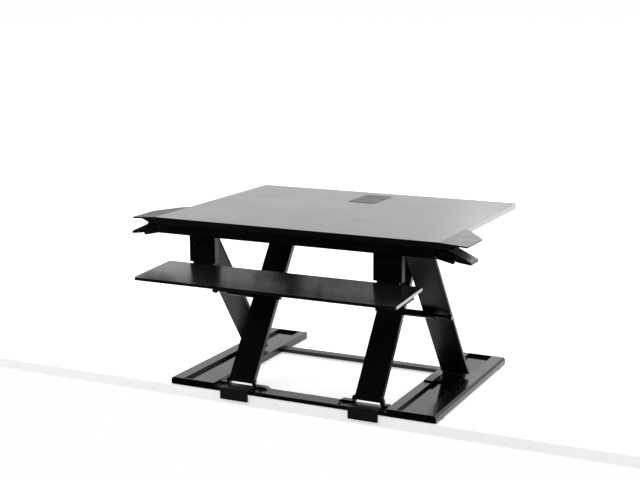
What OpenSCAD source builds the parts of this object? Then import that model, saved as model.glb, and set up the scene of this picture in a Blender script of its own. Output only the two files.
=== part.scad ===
// Standing desk converter: a worktop on a pair of scissor legs, with a hanging keyboard tray.
// Millimetres. X runs to the right, Y to the back and Z up. The origin is on the desk, under the
// middle of the front bar. Each leg pair crosses at its middle, so the worktop stays level.

/* [Worktop] */
// Width of the worktop board
top_w = 814; // [720:1:960]
// Thickness of the worktop board
top_t = 15; // [12:1:20]
// Radius of the board's rear corners
top_r = 8; // [5:1:30]
// How far the board's front edge lies ahead of the origin
top_front = 61; // [58:1:80]
// Board left behind the top rails
top_back_margin = 15; // [8:1:60]
// Width of the cover over the monitor mount's hole
cover_w = 84; // [60:1:120]
// Depth of that cover
cover_d = 136; // [90:1:160]

/* [Hand wings] */
// How far a wing stands out beside the board
wing_out = 73; // [40:1:90]
// Length of a wing's outer edge
wing_len = 112; // [80:1:150]
// Length of the slanted rear edge of a wing
wing_slant = 62; // [30:1:90]
// Thickness of a wing
wing_t = 4; // [3:0.5:6]
// Downward slope of a wing, in degrees
wing_droop = 4; // [2:0.5:8]

/* [Legs] */
// Length of each leg between its end pivots
link = 506; // [430:1:600]
// Angle of the legs to the desk at rest, in degrees
rest_angle = 54.5; // [46:0.5:60]
// Angle of the legs with the worktop right down, in degrees
low_angle = 8.5; // [8:0.5:14]
// Angle of the legs with the worktop right up, in degrees
high_angle = 72; // [65:0.5:74]
// Height of the lower pivots above the desk
pivot_z = 25; // [24:1:34]
// Distance of the front lower pivots behind the origin
pivot_y = 14.5; // [12:0.5:20]
// Width of a front leg
front_leg_w = 76; // [60:1:95]
// Width of a rear leg
rear_leg_w = 80; // [74:1:95]
// Sheet thickness of the legs
leg_t = 2.5; // [2:0.5:3]
// Half of a front leg's depth
leg_half = 7; // [7:0.5:9]
// Gap between a rear leg's face and its pivot line
rear_set_back = 10; // [9:0.5:11]
// Depth of a rear leg's folded edges
rear_fold = 8; // [6:0.5:8]
// Sideways gap between a front leg and a base tray
leg_gap = 28; // [20:1:45]

/* [Base] */
// Width over both base trays
base_w = 784; // [740:1:900]
// Height of the rails' top faces above the desk
rail_h = 22; // [20:1:23]
// Width of an inner rail
inner_rail_w = 26; // [20:1:34]
// Width of an outer rail at its foot
outer_rail_w = 40; // [32:1:50]
// How far the outer rail's side slopes in towards its top
outer_slope = 6; // [4:1:18]
// Width of the channel between the rails
channel_w = 71; // [64:1:90]
// Thickness of the base sheet and of its end walls
sheet = 2; // [1.5:0.5:3]
// Depth of the front bar
bar_d = 48; // [40:1:60]
// Height of the front bar
bar_h = 11; // [8:1:12]
// Depth of the rear bar
rear_bar_d = 30; // [20:1:45]
// Distance of the rear bar's front edge behind the origin
rear_bar_y = 374; // [300:1:400]
// Thickness of the rubber pads
pad_t = 2; // [1:0.5:3]
// Depth of a hook below the desk's top
hook_drop = 17.5; // [10:0.5:25]
// Thickness of a hook's front plate
hook_t = 6; // [4:0.5:8]

/* [Keyboard tray] */
// Width of the keyboard tray
tray_w = 730; // [640:1:800]
// Depth of the keyboard tray
tray_d = 171; // [150:1:260]
// Thickness of the tray board
tray_t = 8; // [6:1:12]
// Tilt of the tray at rest, back edge up, in degrees
tray_tilt = 3.4; // [0:0.1:6]
// Sideways place of each hanger's middle
hanger_x = 267; // [240:1:285]
// Width of a hanger
hanger_w = 78; // [60:1:90]
// Depth of a hanger
hanger_d = 20; // [18:1:26]
// Length of a hanger below the worktop
hanger_len = 99; // [90:1:130]
// Gap between the apron's front and the hanger's front
hanger_back = 11; // [11:1:16]

/* [Pins and fits] */
// Radius of the leg pins and centre bolts
pin_r = 4; // [3:0.5:4]
// Radius of the shaft through the tops of the rear legs
shaft_r = 6; // [5:0.5:6]
// Radial clearance where a pin turns or seats
run_gap = 0.1; // [0.05:0.01:0.1]
// Clearance of sliding and neighbouring pieces
slide_gap = 0.3; // [0.2:0.1:0.5]

/* [Hidden] */

round_fn = 48;
over = 1;  // how far a cut runs past the face that it opens

black_steel = [0.05, 0.05, 0.055];
black_plastic = [0.03, 0.03, 0.035];
black_laminate = [0.08, 0.08, 0.085];
bright_steel = [0.62, 0.62, 0.64];
dark_rubber = [0.06, 0.06, 0.06];

// Places of the scissor's pivots, each as [y, z]
run = link * cos(rest_angle);
rise = link * sin(rest_angle);
pivot_b = [pivot_y, pivot_z];
pivot_d = [pivot_y + run, pivot_z];
pivot_t = [pivot_y, pivot_z + rise];
pivot_f = [pivot_y + run, pivot_z + rise];
far_y = pivot_y + link * cos(low_angle);
near_y = pivot_y + link * cos(high_angle);

// Worktop
hinge_drop = 24;
top_under = pivot_t[1] + hinge_drop;
top_z = top_under + top_t;

// Base, from the desk up and from the middle out
base_z = pad_t;
wall_t = 2 * sheet;
bar_overhang = 1;
outer_lip = 14;
tail_room = 4;
floor_rise = 12;
floor_z = base_z + floor_rise;
inner_x = base_w / 2 - inner_rail_w - channel_w - outer_rail_w;
channel_in = inner_x + inner_rail_w;
channel_out = channel_in + channel_w;
rear_leg_x = channel_in + channel_w / 2;
rear_in = rear_leg_x - rear_leg_w / 2;
rear_out = rear_leg_x + rear_leg_w / 2;
front_out = inner_x - leg_gap;
front_in = front_out - front_leg_w;
front_leg_x = front_in + front_leg_w / 2;
bar_front = -bar_d / 2 - bar_overhang;
bar_back = bar_d / 2 - bar_overhang;
bar_top = base_z + bar_h;
shoe_back = 18;
base_back = far_y + shoe_back + wall_t + tail_room;

// Hinge brackets, hooks, pads and screws of the base
bracket_wing = 42;
bracket_rise = 6;
bracket_bevel = 9;
hook_side = 6;
hook_top = 24;
hook_plate = 2;
pad_w = 240;
pad_d = 20;
corner_pad_w = 30;
pad_inset = 6;
front_pad = 40;
rear_pad = 60;
screw_r = 5;
screw_h = 2.5;
screw_inner = 34;
screw_outer = 18;
pin_head_t = 3;
pin_head_lip = 1.7;

// Legs
ear_r = 9;
ear_t = 4;
web_low = -5;
web_high = 17;
outer_ear = rear_out - ear_t;
spacer_reach = 33;
spacer_end = rear_in + spacer_reach;
spacer_r = 9.5;
bolt_head_r = 8;
bolt_head_t = 6;
bolt_nut_r = 7;
ear_inset = 4;
face_start = 2;
lug_len = 12;

// Foot glides
shoe_front = 78;
shoe_heel = 24;
shoe_side = 9;
shoe_in = channel_in + shoe_side;
shoe_out = channel_out - shoe_side;
shoe_low = 5;
tab_back = 18;
tab_t = 4;
tab_side = 3;
tab_over = 3;
tab_leg = 30;

// Top carriage
lug_w = 24;
glide_w = 52;
glide_front = 24;
glide_back = 30;
rail_t = 2;
rail_h_top = 16;
rail_slot = 6;
rail_w = glide_w + 2 * (slide_gap + rail_t);
rail_z = top_under - rail_h_top;
rail_front = near_y - glide_front - 20;
rail_back = far_y + glide_back + 2;
top_back = rail_back + top_back_margin;
cover_margin = 44;
mount_y = top_back - cover_margin - cover_d;
bar_low = 5;
bar_t = 15;
bar_z0 = pivot_t[1] - bar_low;
bar_z1 = rail_z - 1;
rod_drop = 12;
rod_z = top_under - rod_drop;
rod_r = 4;
rod_front = 24;
block_w = 36;
block_front = 13;
block_drop = 3;

// Frame under the worktop
corner = 4;
cover_inset = 2;
cover_proud = 0.6;
cover_r = 8;
hinge_w = 24;
hinge_r = 11;
hinge_plate_w = 54;
hinge_plate_d = 48;
hinge_plate_t = 3;
beam_side = 70;
beam_t = 10;
beam_h = 20;

// Springs round the top shaft
spring_in = 46;
spring_out = 262;
spring_pitch = 6;
spring_core = shaft_r + 0.5;
spring_r = shaft_r + 5;
spring_groove = 1.2;
anchor_w = 14;
anchor_d = 24;
anchor_low = 10;

// Apron, levers and release rods
apron_h = 27;
apron_t = 2.5;
apron_lip = 5;
apron_side = 11;
apron_y = -top_front;
apron_z = top_under - apron_h;
wing_plate_t = 3;
wing_edge = 2;
wing_front_r = 4;
wing_rear_r = 5;
wing_shoulder = 12;
wing_edge_in = 1;
cheek_out = 46;
cheek_low = 22;
wing_root_d = 6;
wing_root_w = 20;
lever_side = 14;
lever_x = top_w / 2 + lever_side;
lever_drop = 15;
lever_z = top_under - lever_drop;
lever_y0 = apron_y + 8;
lever_len = 54;
lever_over = 6;
lever_apex = 10;
lever_apex_rise = 10.5;
lever_bend = 33;
lever_bend_drop = 18;
lever_tip_drop = 22;
lever_tip_t = 7;
lever_arm_t = 6;
lever_arm_w = 4;
bracket_t = 3;
bracket_in = 36;
bracket_apex = 12;
bracket_tooth = 20;
bracket_tooth_w = 5;
bracket_tooth_drop = 22;
lever_hub_r = 7.5;
lever_pin_r = 3;
lever_arm = 13;
release_y = apron_y + 3.8;
release_z = lever_z + 7;
release_start = 58;
release_end = lever_x - lever_arm_t / 2 - 1;
rod_h = 7;
rod_t = 5;
guide_w = 12;
guide_low = 4;
guide_back = 1.7;
guide_x = [66, 190, 330];

// Tray
hanger_y = apron_y + hanger_back;
hanger_z = top_under - hanger_len;
hanger_t = 3;
screw_z = hanger_z + 50;
screw_spread = 17;
hanger_hole_r = 3.2;
hanger_screw_r = 3;
hanger_head_r = 5.5;
hanger_head_t = 2.5;
post_side = 5;
post_w = hanger_w - 2 * (hanger_t + post_side);
post_t = 8;
post_top = 20;
post_y = hanger_y + hanger_t + slide_gap;
tilt_hub_r = 8;
tilt_y = post_y + post_t / 2 - 1.3;
tilt_z = hanger_z - 18;
tray_top = 17;
tray_back = 13;
tray_r = 6;
arm_t = 4.5;
arm_ear_t = 4;
arm_front = 18;
arm_w = post_w + 10;
arm_ear_low = 5;
tilt_shaft_y = -58;
tilt_shaft_r = 3.5;
tilt_ear = 7;
pin_end = 2;
paddle_w = 34;
paddle_t = 4;
paddle_len = 62;
paddle_taper = 12;
paddle_shoulder = 16;
paddle_inset = 6;

// A cylinder along X, from x0 to x1
module cross_rod(x0, x1, r) {
    translate([x0, 0, 0])
        rotate([0, 90, 0])
            cylinder(h = x1 - x0, r = r, $fn = round_fn);
}

// A cylinder along Y, from y0 to y1
module along_rod(y0, y1, r) {
    translate([0, y0, 0])
        rotate([-90, 0, 0])
            cylinder(h = y1 - y0, r = r, $fn = round_fn);
}

// A box from its lowest corner to its highest
module slab(low, high) {
    translate(low)
        cube(high - low);
}

// Puts a child's own origin on a pivot, and its own Y along a leg
module on_leg(pivot, angle) {
    translate([0, pivot[0], pivot[1]])
        rotate([angle, 0, 0])
            children();
}

// The right-hand piece, or its mirror image on the left
module on_side(side) {
    mirror([side < 0 ? 1 : 0, 0, 0])
        children();
}

module both_sides() {
    for (side = [-1, 1])
        on_side(side)
            children();
}

// A board with four rounded corners, its lowest corner at low
module round_slab(low, high, r) {
    translate([0, 0, low[2]])
        linear_extrude(high[2] - low[2])
            hull()
                for (x = [low[0] + r, high[0] - r], y = [low[1] + r, high[1] - r])
                    translate([x, y])
                        circle(r = r, $fn = 32);
}

// ---------------------------------------------------------------- base

module front_bar() {
    color(black_steel)
        slab([-inner_x, bar_front, base_z], [inner_x, bar_back, bar_top]);
}

module rear_bar() {
    color(black_steel)
        slab([-inner_x, rear_bar_y, base_z], [inner_x, rear_bar_y + rear_bar_d, bar_top]);
}

// The tray's outline in XZ: a raised floor between an inner rail and a bevelled outer rail
module tray_outline() {
    difference() {
        polygon([
            [inner_x, base_z],
            [base_w / 2, base_z],
            [base_w / 2, base_z + outer_lip],
            [base_w / 2 - outer_slope, rail_h],
            [inner_x, rail_h]
        ]);
        translate([channel_in, floor_z])
            square([channel_w, rail_h]);
        translate([channel_in, base_z - over])
            square([channel_w, floor_rise - sheet + over]);
        // the hollow under each rail's cap
        translate([inner_x + sheet, base_z + sheet])
            square([inner_rail_w - 2 * sheet, rail_h - base_z - 2 * sheet]);
        translate([channel_out + sheet, base_z + sheet])
            square([outer_rail_w - outer_slope - 2 * sheet, rail_h - base_z - 2 * sheet]);
    }
}

module base_tray() {
    color(black_steel) {
        translate([0, base_back - wall_t, 0])
            rotate([90, 0, 0])
                linear_extrude(base_back - 2 * wall_t - bar_front)
                    tray_outline();
        for (y = [bar_front, base_back - wall_t])
            translate([0, y + wall_t, 0])
                rotate([90, 0, 0])
                    linear_extrude(wall_t)
                        hull()
                            tray_outline();
    }
}

// Two ears with a sloping wing on each side, folded from one plate
module hinge_bracket() {
    ear_in = front_in - ear_t - slide_gap;
    ear_out = front_out + slide_gap;
    outer_wing = leg_gap - ear_t - 2 * slide_gap;
    y0 = pivot_y - ear_r;
    y1 = bar_back;
    translate([0, y1, bar_top])
        rotate([90, 0, 0])
            linear_extrude(y1 - y0)
                for (side = [0, 1]) {
                    wing = side ? outer_wing : bracket_wing;
                    translate([side ? ear_out + ear_t : ear_in, 0])
                        mirror([side ? 0 : 1, 0])
                            polygon([
                                [0, 0],
                                [wing, 0],
                                [wing - bracket_bevel, bracket_rise],
                                [0, bracket_rise]
                            ]);
                }
    for (x = [ear_in, ear_out])
        difference() {
            union() {
                slab([x, y0, bar_top], [x + ear_t, y1, pivot_z]);
                translate([0, pivot_y, pivot_z])
                    cross_rod(x, x + ear_t, ear_r);
            }
            translate([0, pivot_y, pivot_z])
                cross_rod(x - over, x + ear_t + over, pin_r + run_gap);
        }
}

module leg_hinge_brackets() {
    color(black_steel)
        both_sides()
            hinge_bracket();
}

// A plate over the bar's front that hangs below the desk's edge
module desk_hooks() {
    hook_in = front_in - hook_plate;
    hook_out = front_out + hook_side;
    color(black_plastic)
        both_sides() {
            slab([hook_in, bar_front - hook_t, -hook_drop], [hook_out, bar_front, bar_top]);
            slab([hook_in, bar_front - hook_t, bar_top],
                 [hook_out, bar_front + hook_top, bar_top + hook_plate]);
        }
}

module base_pads() {
    color(dark_rubber) {
        slab([-pad_w / 2, -pad_d / 2, 0], [pad_w / 2, pad_d / 2, base_z]);
        both_sides()
            for (x = [inner_x + pad_inset, base_w / 2 - corner_pad_w - 1],
                 y = [bar_front + front_pad, base_back - rear_pad])
                slab([x, y, 0], [x + corner_pad_w, y + pad_d, base_z]);
    }
}

module leg_hinge_pins() {
    x0 = front_in - ear_t - slide_gap;
    x1 = front_out + ear_t + slide_gap;
    color(bright_steel)
        both_sides()
            translate([0, pivot_y, pivot_z]) {
                cross_rod(x0, x1, pin_r);
                cross_rod(x1, x1 + pin_head_t, pin_r + pin_head_lip);
                cross_rod(x0 - pin_head_t, x0, pin_r + pin_head_lip);
            }
}

module base_screws() {
    color(bright_steel)
        both_sides()
            for (x = [front_in - screw_inner, front_out + screw_outer])
                translate([x, -bar_d / 4, bar_top])
                    cylinder(h = screw_h, r = screw_r, $fn = round_fn);
}

// ---------------------------------------------------------------- legs

module front_leg() {
    color(black_steel)
        on_leg(pivot_b, rest_angle)
            difference() {
                union() {
                    slab([front_in, web_low, leg_half - leg_t], [front_out, link - web_high, leg_half]);
                    for (x = [front_in, front_out - leg_t]) {
                        slab([x, 0, -leg_half], [x + leg_t, link, leg_half]);
                        for (y = [0, link / 2, link])
                            translate([0, y, 0])
                                cross_rod(x, x + leg_t, ear_r);
                    }
                }
                for (y = [0, link / 2, link])
                    translate([0, y, 0])
                        cross_rod(front_in - over, front_out + over, pin_r + run_gap);
            }
}

// An ear that carries a rear leg's pivot in front of its face, seen along X
module rear_ear(y, x, bore) {
    translate([0, y, 0])
        difference() {
            union() {
                slab([x, -ear_r, -rear_set_back], [x + ear_t, ear_r, 0]);
                cross_rod(x, x + ear_t, ear_r);
            }
            cross_rod(x - over, x + ear_t + over, bore + run_gap);
        }
}

module rear_leg() {
    face = -rear_set_back;
    foot_ears = [shoe_in - ear_t - slide_gap, shoe_out + slide_gap];
    top_ears = [rear_in + ear_inset, rear_out - ear_inset - ear_t];
    color(black_steel)
        on_leg(pivot_d, 180 - rest_angle) {
            slab([rear_in, -face_start, face - leg_t], [rear_out, link - web_high, face]);
            for (x = [rear_in, rear_out - leg_t])
                slab([x, -face_start, face - rear_fold], [x + leg_t, link - web_high, face]);
            // lugs that carry the end ears past the ends of the face
            for (x = top_ears) {
                slab([x, link - web_high - lug_len, face - leg_t], [x + ear_t, link + ear_r, face]);
                rear_ear(link, x, shaft_r);
            }
            for (x = foot_ears) {
                slab([x, -ear_r, face - leg_t], [x + ear_t, ear_r, face]);
                rear_ear(0, x, pin_r);
            }
            for (x = [spacer_end, outer_ear])
                rear_ear(link / 2, x, pin_r);
        }
}

// A bolt from the front leg's inner side to the rear leg's outer side
module centre_bolts() {
    x0 = front_in - slide_gap;
    x1 = rear_out + slide_gap;
    color(bright_steel)
        both_sides()
            on_leg(pivot_b, rest_angle)
                translate([0, link / 2, 0]) {
                    cross_rod(x0, x1, pin_r);
                    cross_rod(x1, x1 + bolt_head_t, bolt_head_r);
                    cross_rod(x0 - bolt_head_t, x0, bolt_nut_r);
                }
}

// The thick tube that keeps a front leg and a rear leg apart
module pivot_spacers() {
    color(black_steel)
        both_sides()
            on_leg(pivot_b, rest_angle)
                translate([0, link / 2, 0])
                    difference() {
                        cross_rod(front_out, spacer_end - slide_gap, spacer_r);
                        cross_rod(front_out - over, spacer_end + over, pin_r + run_gap);
                    }
}

module top_shaft() {
    color(bright_steel)
        translate([0, pivot_t[0], pivot_t[1]])
            cross_rod(-rear_out, rear_out, shaft_r);
}

module foot_pins() {
    color(bright_steel)
        both_sides()
            translate([0, pivot_d[0], pivot_d[1]])
                cross_rod(shoe_in - ear_t - slide_gap, shoe_out + ear_t + slide_gap, pin_r);
}

// A shoe in the channel, with a tab that runs on top of the inner rail
module foot_glide() {
    y = pivot_d[0];
    z0 = floor_z + slide_gap;
    tab_z = rail_h + slide_gap;
    color(black_plastic)
        difference() {
            union() {
                slab([shoe_in, y - shoe_heel, z0], [shoe_out, y + shoe_back, pivot_z - shoe_low]);
                slab([inner_x + tab_side, y - shoe_front, tab_z],
                     [channel_in + tab_over, y - tab_back, tab_z + tab_t]);
                slab([channel_in + slide_gap, y - tab_back - tab_leg, z0],
                     [channel_in + tab_over, y - tab_back, tab_z + tab_t]);
                slab([channel_in + slide_gap, y - tab_back - tab_leg, z0],
                     [shoe_in + tab_over, y - tab_back, pivot_z - shoe_low]);
                translate([0, y, pivot_z])
                    cross_rod(shoe_in, shoe_out, ear_r);
                slab([shoe_in, y - ear_r, z0], [shoe_out, y + ear_r, pivot_z]);
            }
            translate([0, y, pivot_z])
                cross_rod(shoe_in - over, shoe_out + over, pin_r + run_gap);
        }
}

// ---------------------------------------------------------------- top carriage

module top_glide() {
    y = pivot_f[0];
    z = pivot_f[1];
    neck_in = front_leg_x - lug_w / 2;
    neck_out = front_leg_x + lug_w / 2;
    body_z = rail_z + rail_t + slide_gap;
    lug_back = y + glide_back - 1;
    lug_r = ear_r - 1;
    color(black_plastic)
        difference() {
            union() {
                slab([front_leg_x - glide_w / 2, y - glide_front, body_z],
                     [front_leg_x + glide_w / 2, y + glide_back, top_under - rail_t - slide_gap]);
                slab([neck_in, y - lug_r, z], [neck_out, lug_back, body_z]);
                translate([0, y, z])
                    cross_rod(neck_in, neck_out, lug_r);
                slab([neck_in, y, bar_z0], [neck_out, lug_back, z]);
            }
            translate([0, y, z])
                cross_rod(neck_in - over, neck_out + over, pin_r + run_gap);
        }
}

module carriage_bar() {
    y = pivot_f[0];
    reach = front_leg_x - lug_w / 2;
    color(black_steel)
        slab([-reach, y + glide_back - 1 - bar_t, bar_z0], [reach, y + glide_back - 1, bar_z1]);
}

module brake_block() {
    y0 = pivot_f[0] + block_front;
    y1 = pivot_f[0] + glide_back;
    color(black_plastic)
        difference() {
            slab([-block_w / 2, y0, bar_z1], [block_w / 2, y1, top_under - block_drop]);
            translate([0, 0, rod_z])
                along_rod(y0 - over, y1 + over, rod_r + run_gap);
        }
}

module top_pins() {
    color(bright_steel)
        both_sides()
            translate([0, pivot_f[0], pivot_f[1]])
                cross_rod(front_in - 1, front_out + 1, pin_r);
}

// ---------------------------------------------------------------- worktop and its frame

// The board's front corners are square, where the wings meet it
module worktop() {
    color(black_laminate)
        difference() {
            translate([0, 0, top_under])
                linear_extrude(top_t)
                    hull() {
                        for (x = [-1, 1]) {
                            translate([x * (top_w / 2 - top_r), top_back - top_r])
                                circle(r = top_r, $fn = 32);
                            translate([x * (top_w / 2 - corner / 2), -top_front + corner / 2])
                                square(corner, center = true);
                        }
                    }
            round_slab([-cover_w / 2 - slide_gap, mount_y - slide_gap, top_z - cover_inset],
                       [cover_w / 2 + slide_gap, mount_y + cover_d + slide_gap, top_z + over],
                       cover_r);
        }
}

module mount_cover() {
    color(black_plastic)
        round_slab([-cover_w / 2, mount_y, top_z - cover_inset],
                   [cover_w / 2, mount_y + cover_d, top_z + cover_proud], cover_r);
}

// A sloping hand wing, hinged in shape about the board's upper edge
module wing() {
    rear = apron_y + wing_len;
    root = slide_gap + wing_t * tan(wing_droop);
    color(black_plastic) {
        translate([top_w / 2, 0, top_z])
            rotate([0, wing_droop, 0])
                translate([0, 0, -wing_t])
                    linear_extrude(wing_t)
                        hull() {
                            translate([wing_out - wing_front_r - wing_edge_in, apron_y + wing_front_r])
                                circle(r = wing_front_r, $fn = 32);
                            translate([wing_out - wing_rear_r, rear - wing_rear_r])
                                circle(r = wing_rear_r, $fn = 32);
                            polygon([
                                [root, apron_y],
                                [wing_out - wing_shoulder, apron_y],
                                [root + wing_root_w, rear + wing_slant],
                                [root, rear + wing_slant + wing_root_d]
                            ]);
                        }
        slab([top_w / 2 + slide_gap, apron_y, top_under],
             [top_w / 2 + slide_gap + wing_plate_t, rear + wing_slant, top_z - wing_edge]);
        // the cheek that fills the wing's root above the lever
        translate([top_w / 2, lever_y0 + lever_len, top_z])
            rotate([90, 0, 0])
                linear_extrude(lever_y0 + lever_len - apron_y - slide_gap)
                    polygon([
                        [wing_plate_t / 2, -top_t],
                        [cheek_low, -top_t],
                        [cheek_out, -wing_t / 2 - cheek_out * tan(wing_droop)],
                        [wing_plate_t / 2, -wing_t / 2]
                    ]);
    }
}

// A channel under the board's front edge, open to the back
module front_apron() {
    half = top_w / 2 - apron_side;
    color(black_steel) {
        slab([-half, apron_y, apron_z], [half, apron_y + apron_t, top_under]);
        slab([-half, apron_y, apron_z], [half, apron_y + apron_t + apron_lip, apron_z + apron_t]);
    }
}

module top_rail() {
    slot = lug_w + rail_slot;
    x0 = front_leg_x - rail_w / 2;
    x1 = front_leg_x + rail_w / 2;
    color(black_steel)
        difference() {
            slab([x0, rail_front, rail_z], [x1, rail_back, top_under]);
            slab([x0 + rail_t, rail_front - over, rail_z + rail_t],
                 [x1 - rail_t, rail_back + over, top_under - rail_t]);
            slab([front_leg_x - slot / 2, rail_front - over, rail_z - over],
                 [front_leg_x + slot / 2, rail_back + over, rail_z + rail_t + over]);
        }
}

module top_hinge_blocks() {
    x0 = rear_leg_x - hinge_w / 2;
    x1 = rear_leg_x + hinge_w / 2;
    plate_x = hinge_plate_w / 2;
    plate_y = hinge_plate_d / 2;
    color(black_steel)
        both_sides()
            difference() {
                union() {
                    slab([x0, pivot_y - hinge_r, pivot_t[1]], [x1, pivot_y + hinge_r, top_under]);
                    slab([rear_leg_x - plate_x, pivot_y - plate_y, top_under - hinge_plate_t],
                         [rear_leg_x + plate_x, pivot_y + plate_y, top_under]);
                    translate([0, pivot_t[0], pivot_t[1]])
                        cross_rod(x0, x1, hinge_r);
                }
                translate([0, pivot_t[0], pivot_t[1]])
                    cross_rod(x0 - over, x1 + over, shaft_r + run_gap);
            }
}

module rear_beam() {
    half = front_out + beam_side;
    y1 = rail_back + beam_t;
    color(black_steel)
        difference() {
            slab([-half, rail_back, top_under - beam_h], [half, y1, top_under]);
            translate([0, 0, rod_z])
                along_rod(rail_back - over, y1 + over, rod_r + run_gap);
        }
}

module brake_rod() {
    color(bright_steel)
        translate([0, 0, rod_z])
            along_rod(apron_y + rod_front, rail_back + beam_t, rod_r);
}

// A close-wound torsion spring round the shaft, drawn as a ribbed sleeve
module lift_springs() {
    turns = floor((spring_out - spring_in) / spring_pitch);
    ribs = [
        for (i = [0 : turns - 1], k = [0, 1])
            [spring_r - spring_groove * k, spring_in + (i + k / 2 + 1 / 4) * spring_pitch]
    ];
    color(bright_steel)
        both_sides()
            translate([0, pivot_t[0], pivot_t[1]])
                rotate([0, 90, 0])
                    rotate_extrude($fn = round_fn)
                        polygon(concat(
                            [[spring_core, spring_out], [spring_core, spring_in]],
                            [[spring_r - spring_groove, spring_in]],
                            ribs,
                            [[spring_r - spring_groove, spring_out]]
                        ));
}

// Blocks that hold the springs' inner ends to the worktop
module spring_anchors() {
    x0 = spring_in - anchor_w;
    x1 = spring_in - slide_gap;
    half_d = anchor_d / 2;
    color(black_steel)
        both_sides()
            difference() {
                slab([x0, pivot_y - half_d, pivot_t[1] - anchor_low], [x1, pivot_y + half_d, top_under]);
                translate([0, pivot_t[0], pivot_t[1]])
                    cross_rod(x0 - over, x1 + over, shaft_r + run_gap);
            }
}

module rod_guides() {
    color(black_plastic)
        both_sides()
            for (x = guide_x)
                difference() {
                    slab([x, apron_y + apron_t, release_z - guide_low],
                         [x + guide_w, release_y + rod_t + guide_back, top_under]);
                    slab([x - over, release_y - slide_gap, release_z - slide_gap],
                         [x + guide_w + over, release_y + rod_t + slide_gap,
                          release_z + rod_h + slide_gap]);
                }
}

module release_rod() {
    color(bright_steel)
        slab([release_start, release_y, release_z],
             [release_end, release_y + rod_t, release_z + rod_h]);
}

module lever_brackets() {
    inner = lever_x - bracket_in;
    root = top_w / 2 - apron_side + slide_gap;
    color(black_steel)
        both_sides()
            for (y = [lever_y0 - bracket_t - slide_gap, lever_y0 + lever_len + slide_gap])
                difference() {
                    translate([0, y + bracket_t, 0])
                        rotate([90, 0, 0])
                            linear_extrude(bracket_t)
                                polygon([
                                    [inner, lever_z - lever_hub_r],
                                    [root, lever_z - lever_hub_r],
                                    [root, apron_z],
                                    [lever_x + bracket_tooth, lever_z - bracket_tooth_drop],
                                    [lever_x + bracket_tooth + bracket_tooth_w, lever_z - lever_bend_drop],
                                    [lever_x + bracket_apex, lever_z + lever_apex_rise],
                                    [lever_x + lever_apex, top_under],
                                    [inner, top_under]
                                ]);
                    translate([lever_x, 0, lever_z])
                        along_rod(y - over, y + bracket_t + over, lever_pin_r + run_gap);
                    slab([lever_x - bracket_in - over, release_y - slide_gap, release_z - slide_gap],
                         [release_end + over, release_y + rod_t + slide_gap,
                          release_z + rod_h + slide_gap]);
                }
}

module lever_pins() {
    color(bright_steel)
        both_sides()
            translate([lever_x, 0, lever_z])
                along_rod(lever_y0 - bracket_t, lever_y0 + lever_len + bracket_t, lever_pin_r);
}

// A squeeze paddle under the wing, with a short arm up to the release rod
module lever() {
    tip = top_w / 2 + wing_out + lever_over;
    y0 = lever_y0;
    half = lever_arm_t / 2;
    color(black_plastic)
        difference() {
            union() {
                translate([0, y0 + lever_len, 0])
                    rotate([90, 0, 0])
                        linear_extrude(lever_len)
                            polygon([
                                [lever_x, lever_z - lever_hub_r],
                                [tip - lever_bend, lever_z - lever_bend_drop],
                                [tip, lever_z - lever_tip_drop],
                                [tip, lever_z - lever_tip_drop + lever_tip_t],
                                [lever_x + lever_apex, lever_z + lever_apex_rise],
                                [lever_x, lever_z + lever_hub_r]
                            ]);
                translate([lever_x, 0, lever_z])
                    along_rod(y0, y0 + lever_len, lever_hub_r);
                slab([lever_x - half, y0, lever_z],
                     [lever_x + half, y0 + lever_arm_w, lever_z + lever_arm]);
            }
            translate([lever_x, 0, lever_z])
                along_rod(y0 - over, y0 + lever_len + over, lever_pin_r + run_gap);
        }
}

// ---------------------------------------------------------------- keyboard tray

// A vertical channel, open to the back, that the tray's post slides in
module hanger() {
    x0 = hanger_x - hanger_w / 2;
    x1 = hanger_x + hanger_w / 2;
    color(black_steel)
        difference() {
            union() {
                slab([x0, hanger_y, hanger_z], [x1, hanger_y + hanger_t, top_under]);
                for (x = [x0, x1 - hanger_t])
                    slab([x, hanger_y, hanger_z], [x + hanger_t, hanger_y + hanger_d, top_under]);
            }
            for (dx = [-screw_spread, screw_spread])
                translate([hanger_x + dx, 0, screw_z])
                    along_rod(hanger_y - over, hanger_y + hanger_t + over, hanger_hole_r);
        }
}

module hanger_screws() {
    color(bright_steel)
        both_sides()
            for (dx = [-screw_spread, screw_spread])
                translate([hanger_x + dx, 0, screw_z]) {
                    along_rod(hanger_y - hanger_head_t, hanger_y, hanger_head_r);
                    along_rod(hanger_y, hanger_y + hanger_t, hanger_screw_r);
                }
}

module tray_post() {
    x0 = hanger_x - post_w / 2;
    x1 = hanger_x + post_w / 2;
    color(black_steel)
        difference() {
            union() {
                slab([x0, post_y, tilt_z], [x1, post_y + post_t, top_under - post_top]);
                translate([0, tilt_y, tilt_z])
                    cross_rod(x0, x1, tilt_hub_r);
            }
            translate([0, tilt_y, tilt_z])
                cross_rod(x0 - over, x1 + over, pin_r + run_gap);
        }
}

// Puts a child's own origin on the tilt pivot, turned with the tray
module on_tray() {
    translate([0, tilt_y, tilt_z])
        rotate([tray_tilt, 0, 0])
            children();
}

module keyboard_tray() {
    color(black_laminate)
        on_tray()
            round_slab([-tray_w / 2, -tray_back - tray_d, tray_top - tray_t],
                       [tray_w / 2, -tray_back, tray_top], tray_r);
}

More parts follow.
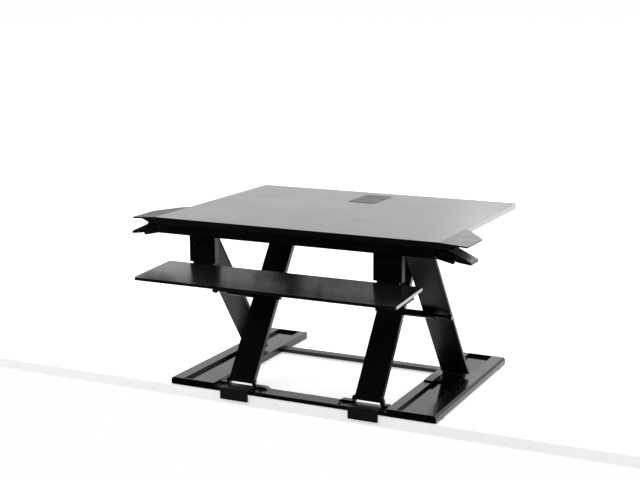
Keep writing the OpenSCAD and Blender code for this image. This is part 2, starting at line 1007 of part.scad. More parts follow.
module tray_arm() {
    x0 = hanger_x - arm_w / 2;
    x1 = hanger_x + arm_w / 2;
    z1 = tray_top - tray_t;
    color(black_steel)
        on_tray()
            difference() {
                union() {
                    slab([x0, -tray_d + arm_front, z1 - arm_t], [x1, -tray_back + 2, z1]);
                    for (x = [x0, x1 - arm_ear_t]) {
                        slab([x, tilt_shaft_y - tilt_ear, -arm_ear_low], [x + arm_ear_t, 0, z1 - arm_t]);
                        cross_rod(x, x + arm_ear_t, tilt_hub_r);
                    }
                }
                cross_rod(x0 - over, x1 + over, pin_r + run_gap);
                translate([0, tilt_shaft_y, 0])
                    cross_rod(x0 - over, x1 + over, tilt_shaft_r + run_gap);
            }
}

module tray_tilt_pins() {
    color(bright_steel)
        both_sides()
            on_tray()
                cross_rod(hanger_x - arm_w / 2 - pin_end, hanger_x + arm_w / 2 + pin_end, pin_r);
}

// A paddle on a short cross shaft, under the right end of the tray
module tilt_lever() {
    x0 = hanger_x - arm_w / 2 - pin_end;
    x1 = tray_w / 2 - paddle_inset;
    x2 = x1 - paddle_w;
    shoulder = paddle_shoulder - paddle_len;
    color(black_plastic)
        on_tray()
            translate([0, tilt_shaft_y, 0]) {
                cross_rod(x0, x1, tilt_shaft_r);
                translate([0, 0, -paddle_t / 2])
                    linear_extrude(paddle_t)
                        polygon([
                            [x2, tilt_shaft_r],
                            [x1, tilt_shaft_r],
                            [x1, shoulder],
                            [x1 - paddle_taper, -paddle_len],
                            [x2 + paddle_taper, -paddle_len],
                            [x2, shoulder]
                        ]);
            }
}

front_bar();
rear_bar();
on_side(-1) base_tray();  // left_base_tray
on_side(1) base_tray();  // right_base_tray
leg_hinge_brackets();
desk_hooks();
base_pads();
leg_hinge_pins();
base_screws();
on_side(-1) front_leg();  // left_front_leg
on_side(1) front_leg();  // right_front_leg
centre_bolts();
pivot_spacers();
on_side(-1) rear_leg();  // left_rear_leg
on_side(1) rear_leg();  // right_rear_leg
top_shaft();
foot_pins();
on_side(-1) foot_glide();  // left_foot_glide
on_side(1) foot_glide();  // right_foot_glide
on_side(-1) top_glide();  // left_top_glide
on_side(1) top_glide();  // right_top_glide
carriage_bar();
brake_block();
top_pins();
worktop();
mount_cover();
on_side(-1) wing();  // left_wing
on_side(1) wing();  // right_wing
front_apron();
on_side(-1) top_rail();  // left_top_rail
on_side(1) top_rail();  // right_top_rail
top_hinge_blocks();
rear_beam();
brake_rod();
lift_springs();
spring_anchors();
rod_guides();
lever_brackets();
lever_pins();
on_side(-1) hanger();  // left_hanger
on_side(1) hanger();  // right_hanger
hanger_screws();
on_side(-1) lever();  // left_lever
on_side(1) lever();  // right_lever
on_side(-1) release_rod();  // left_release_rod
on_side(1) release_rod();  // right_release_rod
on_side(-1) tray_post();  // left_tray_post
on_side(1) tray_post();  // right_tray_post
keyboard_tray();
on_side(-1) tray_arm();  // left_tray_arm
on_side(1) tray_arm();  // right_tray_arm
tray_tilt_pins();
tilt_lever();
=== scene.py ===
"""Standing desk converter: finishes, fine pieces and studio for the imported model.

Everything is in metres in the model's own frame: X to the right, Y to the back, Z up, and the
desk's top at Z = 0. Each piece is one operator, and main() calls them in order.
"""

import math

import bpy
import numpy as np
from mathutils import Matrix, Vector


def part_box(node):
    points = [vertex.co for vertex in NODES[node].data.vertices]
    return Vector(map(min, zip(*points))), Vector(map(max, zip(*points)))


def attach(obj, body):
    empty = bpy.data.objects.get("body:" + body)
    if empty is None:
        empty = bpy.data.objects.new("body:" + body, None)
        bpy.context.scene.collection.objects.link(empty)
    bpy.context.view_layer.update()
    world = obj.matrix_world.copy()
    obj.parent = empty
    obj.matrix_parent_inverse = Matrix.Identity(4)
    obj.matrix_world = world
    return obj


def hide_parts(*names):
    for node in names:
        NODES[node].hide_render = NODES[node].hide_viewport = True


bl_info = {
    "name": "Standing Desk Converter",
    "version": (1, 0, 0),
    "blender": (4, 5, 0),
    "location": "3D View > Sidebar > Desk Converter",
    "description": "Finishes and fine pieces for a standing desk converter",
    "category": "Object",
}

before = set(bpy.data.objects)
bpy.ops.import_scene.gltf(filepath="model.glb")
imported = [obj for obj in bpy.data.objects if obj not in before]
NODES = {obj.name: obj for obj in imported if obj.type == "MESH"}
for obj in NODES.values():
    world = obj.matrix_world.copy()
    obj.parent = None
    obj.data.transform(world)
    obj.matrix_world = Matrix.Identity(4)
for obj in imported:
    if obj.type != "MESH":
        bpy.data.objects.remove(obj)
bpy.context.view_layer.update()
MM = 0.001
EDGE_SLACK = 0.3 * MM
WELD_GAP = 0.01 * MM


# ------------------------------------------------------------------ settings


def colour(name, text, value):
    """One colour setting, with alpha left out."""
    return bpy.props.FloatVectorProperty(
        name=name, description=text, subtype="COLOR", size=3, default=value, min=0.0, max=1.0
    )


def length(name, text, value):
    """One size setting in metres."""
    return bpy.props.FloatProperty(
        name=name, description=text, default=value, min=0.0, unit="LENGTH"
    )


class DeskColours(bpy.types.PropertyGroup):
    """Colours that a user would change."""

    frame_black: colour("Frame", "Powder coat on legs and brackets", (0.0028, 0.0028, 0.0032))
    # Painted sheen: the rear legs' black powder coat is made lighter and tinted blue here, to stand
    # for the bluish reflection on their faces.
    rear_black_painted_sheen: colour("Rear legs", "Powder coat on the rear legs", (0.0050, 0.0055, 0.0070))
    base_black: colour("Base", "Gloss paint on the base", (0.0045, 0.0045, 0.0050))
    top_black: colour("Laminate", "Laminate on the worktop and tray", (0.0080, 0.0080, 0.0085))
    band_grey: colour("Edge band", "Band on the boards' side edges", (0.42, 0.42, 0.43))
    moulding: colour("Mouldings", "Moulded plastic", (0.0060, 0.0060, 0.0065))
    zinc: colour("Zinc", "Plated bolt caps, hinge pins and springs", (0.60, 0.60, 0.62))
    oxide: colour("Black oxide", "Blackened pins, rods and screws", (0.030, 0.030, 0.033))
    rubber: colour("Rubber", "Pads and grips", (0.018, 0.018, 0.018))
    desk_white: colour("Desk", "Desk that the unit stands on", (0.95, 0.95, 0.95))


class DeskSizes(bpy.types.PropertyGroup):
    """Sizes of the fine pieces."""

    edge_round: length("Edge rounding", "Rounding of sheet metal edges", 0.5 * MM)
    wire: length("Spring wire", "Thickness of the lift springs' wire", 4.2 * MM)
    pitch: length("Spring pitch", "Distance between a spring's turns", 6.0 * MM)
    rib_pitch: length("Grip rib pitch", "Distance between ribs on the hand grips", 4.0 * MM)
    rib_height: length("Grip rib height", "Height of those ribs", 0.7 * MM)
    desk_thick: length("Desk thickness", "Thickness of the desk's top", 30.0 * MM)


def colours():
    """The scene's colour settings."""
    return bpy.context.scene.desk_colours


def sizes():
    """The scene's size settings."""
    return bpy.context.scene.desk_sizes


# ------------------------------------------------------------------ shader expressions


class Num:
    """A number that varies over a surface. Adding, subtracting and multiplying add Math nodes."""

    def __init__(self, paint, socket):
        self.paint = paint
        self.socket = socket

    def _math(self, operation, first, second):
        made = self.paint.node("ShaderNodeMath", {"operation": operation}, {0: first, 1: second})
        return Num(self.paint, made.outputs[0])

    def __add__(self, other):
        return self._math("ADD", self, other)

    __radd__ = __add__

    def __sub__(self, other):
        return self._math("SUBTRACT", self, other)

    def __rsub__(self, other):
        return self._math("SUBTRACT", other, self)

    def __mul__(self, other):
        return self._math("MULTIPLY", self, other)

    __rmul__ = __mul__

    def above(self, other):
        """1 where this is more than other, and 0 elsewhere."""
        return self._math("GREATER_THAN", self, other)

    def size(self):
        """This number without its sign."""
        return self._math("ABSOLUTE", self, 0.0)


class Paint:
    """A material built on one Principled shader."""

    def __init__(self, name, **constants):
        self.material = bpy.data.materials.new(name)
        self.material.use_nodes = True
        self.tree = self.material.node_tree
        self.tree.nodes.clear()
        self.shader = self.node("ShaderNodeBsdfPrincipled", {}, constants)
        self.node("ShaderNodeOutputMaterial", {}, {"Surface": self.shader.outputs[0]})
        self.place = self.node("ShaderNodeTexCoord", {}, {}).outputs["Object"]

    def node(self, kind, settings, sockets):
        """Adds a node of a type, sets it up, then fills its sockets with values or links."""
        made = self.tree.nodes.new(kind)
        for key, value in settings.items():
            setattr(made, key, value)
        for key, value in sockets.items():
            target = made.inputs[key]
            if isinstance(value, Num):
                self.tree.links.new(value.socket, target)
            elif isinstance(value, bpy.types.NodeSocket):
                self.tree.links.new(value, target)
            else:
                target.default_value = value
        return made

    def axes(self):
        """The surface point's X, Y and Z in metres."""
        parts = self.node("ShaderNodeSeparateXYZ", {}, {0: self.place})
        return [Num(self, out) for out in parts.outputs]

    def noise(self, scale, detail=3.0, stretch=(1.0, 1.0, 1.0)):
        """Smooth noise from 0 to 1, with scale cells to the metre, stretched along an axis."""
        where = self.node("ShaderNodeMapping", {}, {"Vector": self.place, "Scale": stretch})
        made = self.node(
            "ShaderNodeTexNoise",
            {"noise_dimensions": "3D"},
            {"Vector": where.outputs[0], "Scale": scale, "Detail": detail},
        )
        return Num(self, made.outputs["Fac"])

    def cells(self, scale):
        """Distance to the middle of the nearest cell, as in a pebbled grain."""
        made = self.node("ShaderNodeTexVoronoi", {}, {"Vector": self.place, "Scale": scale})
        return Num(self, made.outputs["Distance"])

    def span(self, value, low, high, to_low, to_high):
        """value carried from low..high to to_low..to_high, and held at the ends."""
        made = self.node(
            "ShaderNodeMapRange",
            {"clamp": True},
            {0: value, 1: low, 2: high, 3: to_low, 4: to_high},
        )
        return Num(self, made.outputs[0])

    def mix(self, share, first, second):
        """A colour between first and second."""
        made = self.node("ShaderNodeMix", {"data_type": "RGBA"}, {0: share, 6: first, 7: second})
        return made.outputs[2]

    def wear(self, base, rough=None, height=None, depth=0.0001, strength=1.0):
        """Puts a colour, a roughness and a bump height on the shader."""
        self.tree.links.new(base, self.shader.inputs["Base Color"])
        if rough is not None:
            self.tree.links.new(rough.socket, self.shader.inputs["Roughness"])
        if height is not None:
            bump = self.node(
                "ShaderNodeBump",
                {},
                {"Strength": strength, "Distance": depth, "Height": height},
            )
            self.tree.links.new(bump.outputs["Normal"], self.shader.inputs["Normal"])
        return self.material


def shade(rgb, factor):
    """A colour made lighter or darker, with alpha 1."""
    return (rgb[0] * factor, rgb[1] * factor, rgb[2] * factor, 1.0)


def powder_coat(name, rgb, rough=0.3, specular=0.35, grain=650.0, scuff=0.6):
    """Powder coat: a fine orange peel, slight clouding and faint rubbed streaks."""
    p = Paint(name, **{"Specular IOR Level": specular})
    cloud = p.noise(9.0, 4.0)
    rub = p.span(p.noise(60.0, 5.0, (1.0, 1.0, 0.25)), 0.58, 0.75, 0.0, scuff)
    base = p.mix(p.span(cloud, 0.35, 0.7, 0.0, 1.0), shade(rgb, 0.8), shade(rgb, 1.25))
    base = p.mix(rub, base, shade(rgb, 1.9))
    gloss = p.span(cloud, 0.3, 0.7, rough - 0.05, rough + 0.05) + rub * 0.06
    return p.wear(base, gloss, p.noise(grain, 2.0), 0.00012, 0.55)


def gloss_paint(name, rgb, floor_top):
    """Gloss paint on the base: duller on the rails and mirror-smooth on the channel's floor."""
    p = Paint(name, **{"Specular IOR Level": 0.32, "Coat Weight": 0.1, "Coat Roughness": 0.06})
    rail = p.axes()[2].above(floor_top)
    cloud = p.noise(14.0, 4.0)
    dust = p.span(p.noise(220.0, 3.0), 0.62, 0.74, 0.0, 1.0)
    base = p.mix(p.span(cloud, 0.3, 0.7, 0.0, 1.0), shade(rgb, 0.75), shade(rgb, 1.2))
    base = p.mix(dust * 0.5, base, shade(rgb, 2.2))
    rough = 0.07 + rail * 0.13 + cloud * 0.05 + dust * 0.05
    return p.wear(base, rough, p.noise(500.0, 2.0), 0.00006, 0.35)


def moulded(name, rgb, rough=0.45):
    """Moulded plastic with a spark-eroded grain."""
    p = Paint(name, **{"Specular IOR Level": 0.35})
    cloud = p.noise(20.0, 3.0)
    grain = p.cells(1400.0)
    base = p.mix(p.span(cloud, 0.3, 0.7, 0.0, 1.0), shade(rgb, 0.85), shade(rgb, 1.3))
    return p.wear(base, p.span(cloud, 0.3, 0.7, rough - 0.05, rough + 0.06), grain, 0.00008, 0.5)


def plated(name, rgb, along="x"):
    """Zinc-plated steel with turning marks across its length and slight dull patches."""
    stretch = {"x": (40.0, 1.0, 1.0), "y": (1.0, 40.0, 1.0), "z": (1.0, 1.0, 40.0)}[along]
    p = Paint(name, **{"Metallic": 1.0})
    marks = p.noise(60.0, 3.0, stretch)
    patch = p.noise(90.0, 4.0)
    base = p.mix(p.span(patch, 0.35, 0.65, 0.0, 1.0), shade(rgb, 0.82), shade(rgb, 1.08))
    rough = 0.2 + marks * 0.14 + p.span(patch, 0.5, 0.7, 0.0, 0.1)
    return p.wear(base, rough, marks, 0.00003, 0.4)


def laminate(name, rgb, band, half_width, rear, low, high, front):
    """Laminate on a board: fine speckle on the faces and a paler band on the side edges."""
    p = Paint(name, **{"Specular IOR Level": 0.5, "Coat Weight": 0.4, "Coat Roughness": 0.15})
    x, y, z = p.axes()
    cloud = p.noise(7.0, 4.0)
    speck = p.span(p.noise(1500.0, 2.0), 0.56, 0.72, 0.0, 1.0)
    streak = p.noise(40.0, 3.0, (0.12, 1.0, 1.0))
    base = p.mix(p.span(cloud, 0.3, 0.7, 0.0, 1.0), shade(rgb, 0.85), shade(rgb, 1.15))
    base = p.mix(speck * 0.5, base, shade(rgb, 2.4))
    side = x.size().above(half_width - EDGE_SLACK)
    back = y.above(rear - EDGE_SLACK)
    inside = z.above(low) * (1.0 - z.above(high))
    edge = (side + back - side * back) * inside * y.above(front)
    fleck = p.noise(900.0, 2.0)
    pale = p.mix(p.span(fleck, 0.35, 0.65, 0.0, 1.0), shade(band, 0.8), shade(band, 1.15))
    base = p.mix(edge, base, pale)
    rough = p.span(cloud, 0.3, 0.7, 0.2, 0.26) + streak * 0.012 + edge * 0.2
    return p.wear(base, rough, speck + streak * 0.08, 0.00004, 0.3)


def soft_rubber(name, rgb):
    """Matt rubber with a fine sandy grain."""
    p = Paint(name, **{"Specular IOR Level": 0.25})
    grain = p.noise(1100.0, 3.0)
    base = p.mix(p.span(grain, 0.3, 0.7, 0.0, 1.0), shade(rgb, 0.7), shade(rgb, 1.5))
    return p.wear(base, p.span(grain, 0.3, 0.7, 0.7, 0.88), grain, 0.00015, 0.6)


def dress(material, *names):
    """Puts a material on CAD nodes."""
    for name in names:
        piece = NODES[name]
        if not piece.material_slots:
            piece.data.materials.append(material)
        for index in range(len(piece.material_slots)):
            piece.material_slots[index].material = material


def round_edges(*names, width=None):
    """Rounds the sharp edges of CAD nodes, after joining their loose triangles."""
    for name in names:
        piece = NODES[name]
        weld = piece.modifiers.new("join", "WELD")
        weld.merge_threshold = WELD_GAP
        bevel = piece.modifiers.new("round", "BEVEL")
        bevel.width = width or sizes().edge_round
        bevel.segments = 2
        bevel.limit_method = "ANGLE"
        bevel.angle_limit = math.radians(50.0)
        bevel.harden_normals = False


# ------------------------------------------------------------------ surfaces


def grid_quads(rows, columns, offset=0):
    """Corner numbers of the quads of a rows by columns grid of points."""
    r, c = np.meshgrid(np.arange(rows - 1), np.arange(columns - 1), indexing="ij")
    first = (r * columns + c).ravel() + offset
    return np.stack([first, first + 1, first + columns + 1, first + columns], axis=1)


def ring_neighbours(rows, around):
    """The number of each point on a stack of rings, but for the last, and of the next one round."""
    r, c = np.meshgrid(np.arange(rows - 1), np.arange(around), indexing="ij")
    return (r * around + c).ravel(), (r * around + (c + 1) % around).ravel()


def place_mesh(name, points, quads, material, body, slot, angle=35.0):
    """Makes a piece from points and quads, smooth but for edges sharper than angle."""
    mesh = bpy.data.meshes.new(name)
    mesh.from_pydata(points.tolist(), [], quads.tolist())
    mesh.validate()
    mesh.polygons.foreach_set("use_smooth", np.ones(len(mesh.polygons), dtype=bool))
    mesh.set_sharp_from_angle(angle=math.radians(angle))
    mesh.materials.append(material)
    piece = bpy.data.objects.new(name, mesh)
    bpy.context.scene.collection.objects.link(piece)
    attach(piece, body)
    return piece


def closed_sheet(top, bottom):
    """Joins two like grids of points into one closed shell, top facing along its own normal."""
    rows, columns = top.shape[:2]
    count = rows * columns
    points = np.concatenate([top.reshape(-1, 3), bottom.reshape(-1, 3)])
    upper = grid_quads(rows, columns)
    lower = grid_quads(rows, columns, count)[:, ::-1]
    ids = np.arange(count).reshape(rows, columns)
    rim = np.concatenate([ids[0, :], ids[1:, -1], ids[-1, -2::-1], ids[-2:0:-1, 0]])
    after = np.roll(rim, -1)
    side = np.stack([rim, rim + count, after + count, after], axis=1)
    return points, np.concatenate([upper, lower, side])


def coil(x0, x1, y, z, radius, wire, pitch):
    """A round wire wound about a line along X.

    The wire's middle is at x0 + pitch * t and at radius from the line, turned by t whole turns.
    A ring of eight points round it, across its own direction, makes the skin.
    """
    turns = (x1 - x0 - wire) / pitch
    t = np.linspace(0.0, turns, int(turns * 20))
    a = 2.0 * math.pi * t
    out = np.stack([np.zeros_like(a), np.cos(a), np.sin(a)], axis=1)
    middle = np.stack(
        [x0 + wire / 2 + pitch * t, y + radius * np.cos(a), z + radius * np.sin(a)], axis=1
    )
    rise = np.full_like(a, pitch / (2.0 * math.pi))
    ahead = np.stack([rise, -radius * np.sin(a), radius * np.cos(a)], axis=1)
    ahead /= np.linalg.norm(ahead, axis=1, keepdims=True)
    across = np.cross(ahead, out)
    around = 8
    v = np.linspace(0.0, 2.0 * math.pi, around + 1)[:-1, None]
    ring = out[:, None, :] * np.cos(v) + across[:, None, :] * np.sin(v)
    points = middle[:, None, :] + ring * wire / 2
    rows = len(t)
    here, beside = ring_neighbours(rows, around)
    quads = np.stack([here, beside, beside + around, here + around], axis=1)
    last = (rows - 1) * around
    ends = np.array([[3, 2, 1, 0], [7, 4, 3, 0], [7, 6, 5, 4]])
    caps = np.concatenate([ends, ends[:, ::-1] + last])
    return points.reshape(-1, 3), np.concatenate([quads, caps])


def screw_head(radius, height, socket, depth, flats):
    """A domed screw head with a recess, standing on Z = 0.

    The top's height is that of a shallow dome over the distance from the middle, less a recess
    inside a polygon of so many flats. The skirt drops straight to a flat foot.
    """
    spokes = 48
    a = np.linspace(0.0, 2.0 * math.pi, spokes + 1)[:-1]
    part = 2.0 * math.pi / flats
    hexagon = socket * math.cos(math.pi / flats) / np.cos((a % part) - math.pi / flats)
    centre, foot = 0.02, 0.97

    def ring(reach, up):
        """A ring of points at a distance and a height."""
        return np.stack([reach * np.cos(a), reach * np.sin(a), 0 * a + up], axis=1)

    rows = [ring(centre * hexagon, height - depth), ring(foot * hexagon, height - depth)]
    for share in (0.0, 0.12, 0.35, 0.6, 0.82, 0.94, 1.0):
        r = hexagon * (1 - share) + radius * share
        drop = height * 0.45 * (r / radius) ** 2 + height * 0.35 * max(0.0, share - 0.9) * 10.0
        rows.append(ring(r, height - drop))
    rows += [ring(radius, 0.0), ring(centre * radius, 0.0)]
    points = np.stack(rows)
    here, beside = ring_neighbours(len(rows), spokes)
    quads = np.stack([here, here + spokes, beside + spokes, beside], axis=1)
    return points.reshape(-1, 3), quads


def turned(points, axis, at):
    """Points made along Z, turned to stand along an axis and moved to a place."""
    x, y, z = points[:, 0], points[:, 1], points[:, 2]
    turns = {
        "+x": np.stack([z, x, y], axis=1),
        "-x": np.stack([-z, -x, y], axis=1),
        "+y": np.stack([-x, z, y], axis=1),
        "-y": np.stack([x, -z, y], axis=1),
        "+z": np.stack([x, y, z], axis=1),
    }
    return turns[axis] + np.asarray(at)


def gather(parts):
    """Several (points, quads) pairs as one."""
    points, quads, start = [], [], 0
    for some, faces in parts:
        points.append(some)
        quads.append(faces + start)
        start += len(some)
    return np.concatenate(points), np.concatenate(quads)


# ------------------------------------------------------------------ operators


class DESK_OT_finish_base(bpy.types.Operator):
    """Paints the base, its brackets, hooks, pads and pins"""

    bl_idname = "desk.finish_base"
    bl_label = "Finish the base"

    def execute(self, context):
        c = colours()
        floor_rise = 12.6 * MM
        floor_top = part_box("left_base_tray")[0][2] + floor_rise
        gloss = gloss_paint("base_gloss", c.base_black, floor_top)
        dress(gloss, "left_base_tray", "right_base_tray")
        coat = powder_coat("bar_coat", c.frame_black)
        dress(coat, "front_bar", "rear_bar", "leg_hinge_brackets")
        dress(moulded("hook_moulding", c.moulding, 0.5), "desk_hooks")
        dress(soft_rubber("pad_rubber", c.rubber), "base_pads")
        dress(plated("pin_zinc", c.zinc), "leg_hinge_pins")
        round_edges("front_bar", "rear_bar", "left_base_tray", "right_base_tray", width=0.8 * MM)
        round_edges("leg_hinge_brackets", "desk_hooks")
        return {"FINISHED"}


class DESK_OT_finish_legs(bpy.types.Operator):
    """Paints the legs, their glides and pins"""

    bl_idname = "desk.finish_legs"
    bl_label = "Finish the legs"

    def execute(self, context):
        c = colours()
        front = powder_coat("front_leg_coat", c.frame_black, 0.3)
        # The rear legs' coat carries a painted blue sheen. It is the front legs' black made lighter
        # and bluer, standing in for a reflection.
        rear = powder_coat("rear_leg_coat_painted_sheen", c.rear_black_painted_sheen, 0.3, 0.22)
        dress(front, "left_front_leg", "right_front_leg", "pivot_spacers", "carriage_bar")
        dress(rear, "left_rear_leg", "right_rear_leg")
        slide = moulded("glide_moulding", c.moulding, 0.4)
        dress(slide, "left_foot_glide", "right_foot_glide", "left_top_glide", "right_top_glide")
        dress(moulded("brake_moulding", c.moulding, 0.5), "brake_block")
        dark = plated("shaft_oxide", c.oxide)
        dress(dark, "centre_bolts", "top_pins", "top_shaft", "foot_pins")
        round_edges("left_front_leg", "right_front_leg", "left_rear_leg", "right_rear_leg")
        round_edges("left_foot_glide", "right_foot_glide", "carriage_bar")
        round_edges("left_top_glide", "right_top_glide", "brake_block")
        return {"FINISHED"}


class DESK_OT_finish_platform(bpy.types.Operator):
    """Paints the worktop, its frame, wings, levers and rods"""

    bl_idname = "desk.finish_platform"
    bl_label = "Finish the platform"

    def execute(self, context):
        c = colours()
        low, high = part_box("worktop")
        board = laminate(
            "worktop_laminate", c.top_black, c.band_grey, high[0], high[1],
            low[2] + 0.8 * MM, high[2] - 0.8 * MM, low[1] + 200 * MM,
        )
        dress(board, "worktop")
        coat = powder_coat("platform_coat", c.frame_black, 0.34)
        dress(
            coat, "front_apron", "left_top_rail", "right_top_rail", "top_hinge_blocks",
            "rear_beam", "spring_anchors", "lever_brackets", "left_hanger", "right_hanger",
            "left_tray_post", "right_tray_post",
        )
        wing = moulded("wing_moulding", c.moulding, 0.36)
        dress(wing, "left_wing", "right_wing", "mount_cover")
        dress(moulded("lever_moulding", c.moulding, 0.4), "left_lever", "right_lever", "rod_guides")
        dress(plated("rod_oxide", c.oxide, "x"), "left_release_rod", "right_release_rod")
        dress(plated("brake_rod_oxide", c.oxide, "y"), "brake_rod", "lever_pins")
        round_edges("worktop", width=1.0 * MM)
        round_edges("front_apron", "left_hanger", "right_hanger", "left_wing", "right_wing")
        round_edges("left_lever", "right_lever", "left_top_rail", "right_top_rail", "rear_beam")
        round_edges("left_tray_post", "right_tray_post", "top_hinge_blocks", "mount_cover")
        return {"FINISHED"}


class DESK_OT_finish_tray(bpy.types.Operator):
    """Paints the keyboard tray, its arms, pins and tilt lever"""

    bl_idname = "desk.finish_tray"
    bl_label = "Finish the tray"

    def execute(self, context):
        c = colours()
        low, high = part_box("keyboard_tray")
        board = laminate(
            "tray_laminate", c.top_black, c.band_grey, high[0], high[1] + 1.0,
            low[2] - 1.0, high[2] + 1.0, low[1] - 1.0,
        )
        dress(board, "keyboard_tray")
        dress(powder_coat("arm_coat", c.frame_black, 0.36), "left_tray_arm", "right_tray_arm")
        dress(moulded("tilt_moulding", c.moulding), "tilt_lever")
        dress(plated("tilt_oxide", c.oxide), "tray_tilt_pins")
        round_edges("keyboard_tray", width=1.0 * MM)
        round_edges("left_tray_arm", "right_tray_arm", "tilt_lever")
        return {"FINISHED"}


class DESK_OT_lift_springs(bpy.types.Operator):
    """Winds the lift springs round the top shaft"""

    bl_idname = "desk.lift_springs"
    bl_label = "Lift springs"

    def execute(self, context):
        s = sizes()
        low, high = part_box("lift_springs")
        y, z = (low[1] + high[1]) / 2, (low[2] + high[2]) / 2
        outer = (high[1] - low[1]) / 2
        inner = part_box("spring_anchors")[1][0] + 0.3 * MM
        steel = plated("spring_zinc", colours().zinc, "z")
        for side, x0, x1 in (("left", low[0], -inner), ("right", inner, high[0])):
            points, quads = coil(x0, x1, y, z, outer - s.wire / 2 - 0.2 * MM, s.wire, s.pitch)
            spring = place_mesh("spring_" + side, points, quads, steel, "platform", "bright", 60.0)
            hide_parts("lift_springs")
        return {"FINISHED"}


class DESK_OT_screws(bpy.types.Operator):
    """Makes the screw heads of the hangers and the base, and the caps of the centre bolts"""

    bl_idname = "desk.screws"
    bl_label = "Screws and bolt caps"

    def execute(self, context):
        steel = plated("cap_zinc", colours().zinc, "y")
        dark = plated("screw_oxide", colours().oxide, "y")
        heads = []
        low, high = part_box("hanger_screws")
        front_low, front_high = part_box("right_hanger")
        middle = (front_low[0] + front_high[0]) / 2
        z = (low[2] + high[2]) / 2
        spread = high[0] - 5.5 * MM - middle
        for x in (-middle - spread, -middle + spread, middle - spread, middle + spread):
            points, quads = screw_head(5.5 * MM, 2.5 * MM, 2.4 * MM, 1.4 * MM, 6)
            heads.append((turned(points, "-y", (x, front_low[1], z)), quads))
        hanger = place_mesh("hanger_screw_heads", *gather(heads), dark, "platform", "bright")
        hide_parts("hanger_screws")
        heads = []
        low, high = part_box("base_screws")
        y = (low[1] + high[1]) / 2
        for x in base_screw_places():
            points, quads = screw_head(5.0 * MM, high[2] - low[2], 2.2 * MM, 1.3 * MM, 6)
            heads.append((turned(points, "+z", (x, y, low[2])), quads))
        base = place_mesh("base_screw_heads", *gather(heads), dark, "base", "bright")
        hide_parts("base_screws")
        low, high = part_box("centre_bolts")
        y, z = (low[1] + high[1]) / 2, (low[2] + high[2]) / 2
        caps = []
        for axis, x in (("+x", high[0] - 2.6 * MM), ("-x", low[0] + 2.6 * MM)):
            points, quads = screw_head(7.6 * MM, 2.9 * MM, 3.4 * MM, 1.8 * MM, 6)
            caps.append((turned(points, axis, (x, y, z)), quads))
        place_mesh("bolt_caps", *gather(caps), steel, "front_legs", "bright")
        return {"FINISHED"}


def base_screw_places():
    """Where the four base screws stand along X, from the CAD node's own vertices."""
    mesh = NODES["base_screws"].data
    points = np.empty(len(mesh.vertices) * 3)
    mesh.vertices.foreach_get("co", points)
    x = np.sort(points.reshape(-1, 3)[:, 0])
    groups = np.split(x, np.where(np.diff(x) > 0.02)[0] + 1)
    return [float((group[0] + group[-1]) / 2) for group in groups]


class DESK_OT_grips(bpy.types.Operator):
    """Makes the ribbed rubber grips on the hand levers"""

    bl_idname = "desk.grips"
    bl_label = "Hand grips"

    def execute(self, context):
        s = sizes()
        grip = soft_rubber("grip_rubber", colours().rubber)
        start, run, margin, skin = 31.5 * MM, 20 * MM, 5 * MM, 0.4 * MM
        for side, sign in (("left", -1.0), ("right", 1.0)):
            low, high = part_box(side + "_lever")
            tip = sign * (high[0] if sign > 0 else low[0])
            y0, y1 = low[1] + margin, high[1] - margin
            u, v = np.meshgrid(np.linspace(0, 1, 61), np.linspace(0, 1, 25), indexing="ij")
            x = tip - start + run * u
            z = low[2] + (tip - x) * 4.0 / 33.0 - 0.1 * MM
            to_edge = np.minimum(np.minimum(u, 1 - u), np.minimum(v, 1 - v))
            fade = np.clip(to_edge * 12, 0, 1)
            ribs = 0.5 + 0.5 * np.cos(2 * math.pi * u * run / s.rib_pitch)
            height = fade * (skin + s.rib_height * ribs)
            y = y0 + (y1 - y0) * v
            under = np.stack([sign * x, y, z - height], axis=2)
            seat = np.stack([sign * x, y, z + skin], axis=2)
            points, quads = closed_sheet(under, seat)
            if sign > 0:
                quads = quads[:, ::-1]
            place_mesh("grip_" + side, points, quads, grip, side + "_lever", "rubber", 50.0)
        return {"FINISHED"}


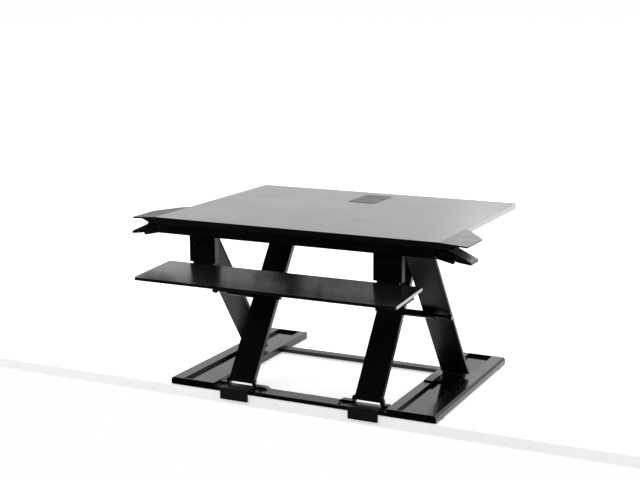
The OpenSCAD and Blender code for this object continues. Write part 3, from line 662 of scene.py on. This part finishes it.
class DESK_OT_stage(bpy.types.Operator):
    """Makes the desk, the lights and the camera"""

    bl_idname = "desk.stage"
    bl_label = "Studio"

    def execute(self, context):
        c, s = colours(), sizes()
        scene = context.scene
        scene.view_settings.view_transform = "Standard"
        white = Paint("desk_white", **{
            "Specular IOR Level": 0.3, "Roughness": 0.5,
            "Emission Color": (1.0, 1.0, 1.0, 1.0), "Emission Strength": 0.5,
        })
        cloud = white.noise(3.0, 2.0)
        share = white.span(cloud, 0.3, 0.7, 0.0, 1.0)
        white.wear(white.mix(share, shade(c.desk_white, 0.99), shade(c.desk_white, 1.01)))
        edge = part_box("front_bar")[0][1] + 0.5 * MM
        reach, back, r = 30.0, 60.0, 3.0 * MM
        a = np.linspace(0.0, math.pi / 2, 9)
        profile = np.concatenate([
            [[back, -s.desk_thick]],
            [[edge, -s.desk_thick]],
            np.stack([edge + r - r * np.cos(a), r * np.sin(a) - r], axis=1),
            [[back, 0.0]],
        ])
        x = np.array([-reach, reach])
        points = np.stack([
            np.broadcast_to(x[:, None], (2, len(profile))),
            np.broadcast_to(profile[None, :, 0], (2, len(profile))),
            np.broadcast_to(profile[None, :, 1], (2, len(profile))),
        ], axis=2).reshape(-1, 3)
        mesh = bpy.data.meshes.new("desk")
        mesh.from_pydata(points.tolist(), [], grid_quads(2, len(profile))[:, ::-1].tolist())
        mesh.materials.append(white.material)
        desk = bpy.data.objects.new("desk", mesh)
        scene.collection.objects.link(desk)
        dark = Paint("card_black", **{"Roughness": 1.0, "Specular IOR Level": 0.0})
        dark.wear(dark.mix(dark.noise(1.0, 1.0), (0.0, 0.0, 0.0, 1.0), (0.001, 0.001, 0.001, 1.0)))
        mesh = bpy.data.meshes.new("black_card")
        wide, low, high, away, near = 9.0, -6.0, 5.0, -4.6, -1.0
        bend = [(away, low), (away, high), (near, high)]
        corners = [(x, y, z) for x in (-wide, wide) for y, z in bend]
        mesh.from_pydata(corners, [], [(0, 1, 4, 3), (1, 2, 5, 4)])
        mesh.materials.append(dark.material)
        card = bpy.data.objects.new("black_card", mesh)
        card.visible_camera = False
        scene.collection.objects.link(card)

        world = bpy.data.worlds.new("studio")
        world.use_nodes = True
        sky = world.node_tree.nodes["Background"]
        sky.inputs["Color"].default_value = (1.0, 1.0, 1.0, 1.0)
        sky.inputs["Strength"].default_value = 1.0
        scene.world = world
        for name, place, aim, size, power in (
            ("key", (-1.6, -1.8, 2.4), (0.0, 0.1, 0.3), 1.6, 40.0),
            ("fill", (2.4, -1.2, 1.6), (0.0, 0.1, 0.3), 1.4, 16.0),
            ("rim", (0.3, 2.6, 2.2), (0.0, 0.2, 0.4), 2.2, 40.0),
        ):
            lamp = bpy.data.lights.new(name, "AREA")
            lamp.size = size
            lamp.energy = power
            light = bpy.data.objects.new(name, lamp)
            gap = np.array(aim) - np.array(place)
            light.location = place
            flat = math.hypot(gap[0], gap[1])
            turn = math.atan2(gap[1], gap[0]) - math.pi / 2
            light.rotation_euler = (math.atan2(flat, -gap[2]), 0.0, turn)
            light.visible_glossy = name == "rim"
            scene.collection.objects.link(light)

        lens = bpy.data.cameras.new("camera")
        lens.lens = 69.8
        lens.sensor_width = 36.0
        lens.shift_x = -0.0388
        lens.shift_y = -0.009
        lens.clip_end = 50.0
        camera = bpy.data.objects.new("camera", lens)
        camera.location = (1.4389, -2.8128, 1.0712)
        camera.rotation_euler = (math.radians(90.0 - 11.1), 0.0, math.radians(25.0))
        scene.collection.objects.link(camera)
        scene.camera = camera
        return {"FINISHED"}


class DESK_PT_panel(bpy.types.Panel):
    """Lists the converter's settings and steps"""

    bl_idname = "DESK_PT_panel"
    bl_label = "Desk Converter"
    bl_space_type = "VIEW_3D"
    bl_region_type = "UI"
    bl_category = "Desk Converter"

    def draw(self, context):
        column = self.layout.column()
        for group in (context.scene.desk_colours, context.scene.desk_sizes):
            for key in group.__annotations__:
                column.prop(group, key)
        for step in STEPS:
            column.operator(step.bl_idname)


STEPS = (
    DESK_OT_stage,
    DESK_OT_finish_base,
    DESK_OT_finish_legs,
    DESK_OT_finish_platform,
    DESK_OT_finish_tray,
    DESK_OT_lift_springs,
    DESK_OT_screws,
    DESK_OT_grips,
)
CLASSES = (DeskColours, DeskSizes, *STEPS, DESK_PT_panel)


def register():
    """Registers the classes and the scene's settings."""
    for item in CLASSES:
        bpy.utils.register_class(item)
    bpy.types.Scene.desk_colours = bpy.props.PointerProperty(type=DeskColours)
    bpy.types.Scene.desk_sizes = bpy.props.PointerProperty(type=DeskSizes)


def unregister():
    """Takes the classes and the scene's settings away."""
    del bpy.types.Scene.desk_sizes
    del bpy.types.Scene.desk_colours
    for item in reversed(CLASSES):
        bpy.utils.unregister_class(item)


def main():
    """Makes every piece in order."""
    register()
    for step in STEPS:
        group, name = step.bl_idname.split(".")
        getattr(getattr(bpy.ops, group), name)()


if __name__ == "__main__":
    main()
